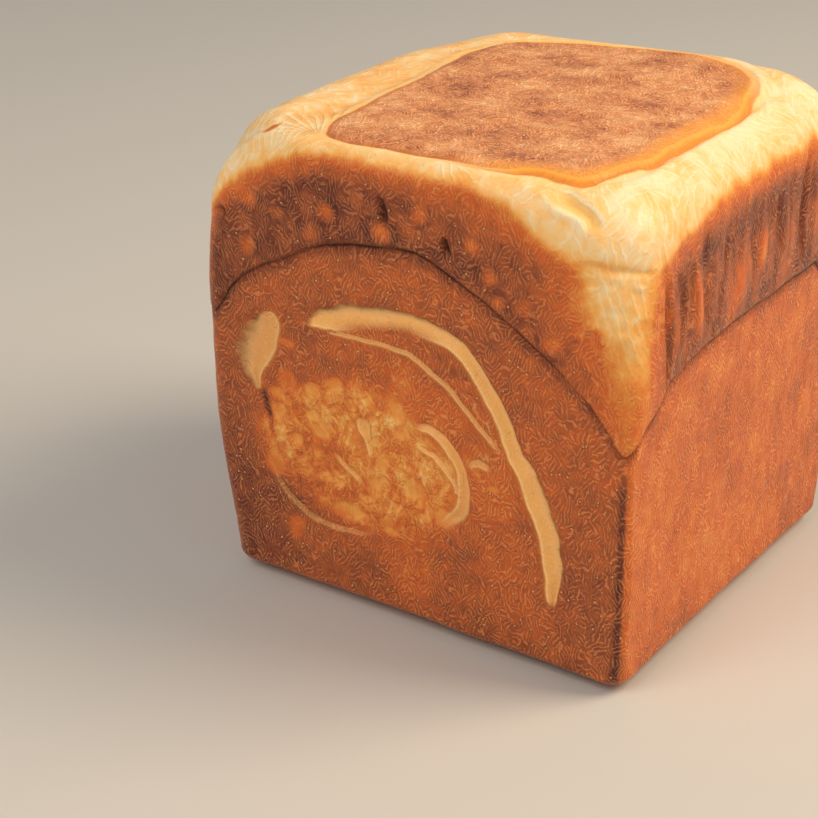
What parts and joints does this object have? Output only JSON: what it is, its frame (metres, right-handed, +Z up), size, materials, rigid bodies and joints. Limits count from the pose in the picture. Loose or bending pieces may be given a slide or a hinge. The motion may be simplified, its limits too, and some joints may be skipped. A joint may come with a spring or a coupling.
{
  "type": "milk bread",
  "caption": "Cube-like milk bread loaf baked in a lidded tin, with a pressed flat top, pale rounded shoulders, a fold line round the sides and the coil of the rolled dough on its ends",
  "frame": {"origin": "middle of the loaf's bounding box on the surface it stands on", "axes": "+Z up, -Y out of the coiled end that the picture shows at the left, +X out of the plain side that it shows at the right"},
  "size_m": [0.1278, 0.123, 0.1308],
  "materials": {
    "baked_crust": "baked bread crust, golden brown to dark brown, cream on the shoulders, finely grained, matt with a slight buttery gloss"
  },
  "bodies": {
    "root": {"milk_bread": "baked_crust"}
  },
  "joints": []
}
